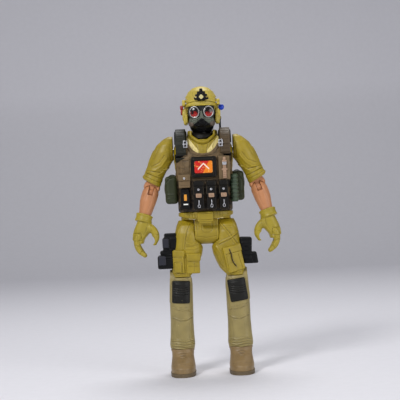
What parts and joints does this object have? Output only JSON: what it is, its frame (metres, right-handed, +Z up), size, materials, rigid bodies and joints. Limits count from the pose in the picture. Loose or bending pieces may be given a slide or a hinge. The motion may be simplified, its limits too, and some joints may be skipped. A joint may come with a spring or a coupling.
{
  "type": "action figure",
  "caption": "Jointed toy soldier figure with gas mask, helmet, loaded vest and thigh pouches; neck, shoulders, elbows, wrists, hips and knees turn.",
  "frame": {"origin": "middle of the bounding box at floor level, under the soles", "axes": "+Z up towards the crown of the helmet, -Y is the way the figure faces, +X is the figure's own left side"},
  "size_m": [0.1538, 0.0568, 0.3],
  "materials": {
    "olive": "satin moulded, olive yellow",
    "pale_olive": "satin moulded, pale olive",
    "steel": "plain",
    "black": "satin black",
    "brown": "moulded webbing, dark brown",
    "patch_red": "printed red and orange",
    "tan": "dull tan",
    "moss": "dark moss green",
    "red": "gloss dark red",
    "blue": "gloss blue",
    "mask_grey": "satin grey green",
    "lens": "gloss, dark red",
    "skin": "satin skin tone",
    "glove": "satin olive",
    "boot": "satin desert tan"
  },
  "bodies": {
    "torso": {"torso_front": "pale_olive", "torso_back": "olive", "torso_screws": "steel", "neck_post": "black", "neck_scarf": "black", "hip_block": "olive", "hip_axle": "steel", "belt": "olive", "belt_buckle": "olive", "vest_front": "brown", "vest_back": "brown", "strap_pads": "black", "strap_covers": "brown", "strap_buckles": "steel", "chest_pouches": "brown", "chest_patch": "patch_red", "chest_knife": "tan", "magazine_pouches": "black", "pouch_fittings": "steel", "pouch_clips": "tan", "radio": "black", "side_pouches": "moss", "smoke_canister": "moss"},
    "head": {"head_core": "black", "helmet": "olive", "helmet_mount": "black", "ear_guards": "olive", "red_ear_knob": "red", "blue_ear_knob": "blue", "gas_mask": "mask_grey", "mask_filters": "black", "lens_rings": "steel", "lenses": "lens"},
    "right_arm": {"right_upper_arm": "olive", "right_shoulder_peg": "steel", "right_elbow_link": "skin"},
    "right_lower_arm": {"right_forearm": "skin", "right_elbow_pin": "steel"},
    "right_fist": {"right_hand": "glove"},
    "right_upper_leg": {"right_thigh": "olive", "right_cargo_pockets": "olive", "leg_pouches": "black"},
    "right_lower_leg": {"right_shin": "olive", "right_knee_pin": "steel", "right_knee_pad": "black", "right_boot": "boot"},
    "left_arm": {"left_upper_arm": "olive", "left_shoulder_peg": "steel", "left_elbow_link": "skin"},
    "left_lower_arm": {"left_forearm": "skin", "left_elbow_pin": "steel"},
    "left_fist": {"left_hand": "glove"},
    "left_upper_leg": {"left_thigh": "olive", "left_cargo_pocket": "olive", "left_holster": "black"},
    "left_lower_leg": {"left_shin": "olive", "left_knee_pin": "steel", "left_knee_pad": "black", "left_boot": "boot"}
  },
  "joints": [
    {"name": "neck_turn", "type": "hinge", "parent": "torso", "child": "head", "pos_m": [0, 0.005, 0.25], "axis": [0, 0, 1], "range_deg": [-75, 75]},
    {"name": "right_shoulder_swing", "type": "hinge", "parent": "torso", "child": "right_arm", "pos_m": [-0.0314, 0.005, 0.231], "axis": [-1, 0, 0], "continuous": true},
    {"name": "right_elbow_bend", "type": "hinge", "parent": "right_arm", "child": "right_lower_arm", "pos_m": [-0.057, 0.005, 0.1906], "axis": [-0.9563, 0, 0.2924], "range_deg": [0, 65]},
    {"name": "right_wrist_turn", "type": "hinge", "parent": "right_lower_arm", "child": "right_fist", "pos_m": [-0.06412, 0.00158, 0.1673], "axis": [0.2895, 0.1392, 0.947], "continuous": true},
    {"name": "right_hip_swing", "type": "hinge", "parent": "torso", "child": "right_upper_leg", "pos_m": [-0.02, 0.005, 0.147], "axis": [-1, 0, 0], "range_deg": [-25, 70]},
    {"name": "right_knee_bend", "type": "hinge", "parent": "right_upper_leg", "child": "right_lower_leg", "pos_m": [-0.0295, 0.005, 0.099], "axis": [1, 0, 0], "range_deg": [0, 80]},
    {"name": "left_shoulder_swing", "type": "hinge", "parent": "torso", "child": "left_arm", "pos_m": [0.0314, 0.005, 0.231], "axis": [-1, 0, 0], "continuous": true},
    {"name": "left_elbow_bend", "type": "hinge", "parent": "left_arm", "child": "left_lower_arm", "pos_m": [0.057, 0.005, 0.1906], "axis": [-0.9563, 0, -0.2924], "range_deg": [0, 65]},
    {"name": "left_wrist_turn", "type": "hinge", "parent": "left_lower_arm", "child": "left_fist", "pos_m": [0.06412, 0.00158, 0.1673], "axis": [-0.2895, 0.1392, 0.947], "continuous": true},
    {"name": "left_hip_swing", "type": "hinge", "parent": "torso", "child": "left_upper_leg", "pos_m": [0.02, 0.005, 0.147], "axis": [-1, 0, 0], "range_deg": [-25, 70]},
    {"name": "left_knee_bend", "type": "hinge", "parent": "left_upper_leg", "child": "left_lower_leg", "pos_m": [0.0295, 0.005, 0.099], "axis": [1, 0, 0], "range_deg": [0, 80]}
  ]
}
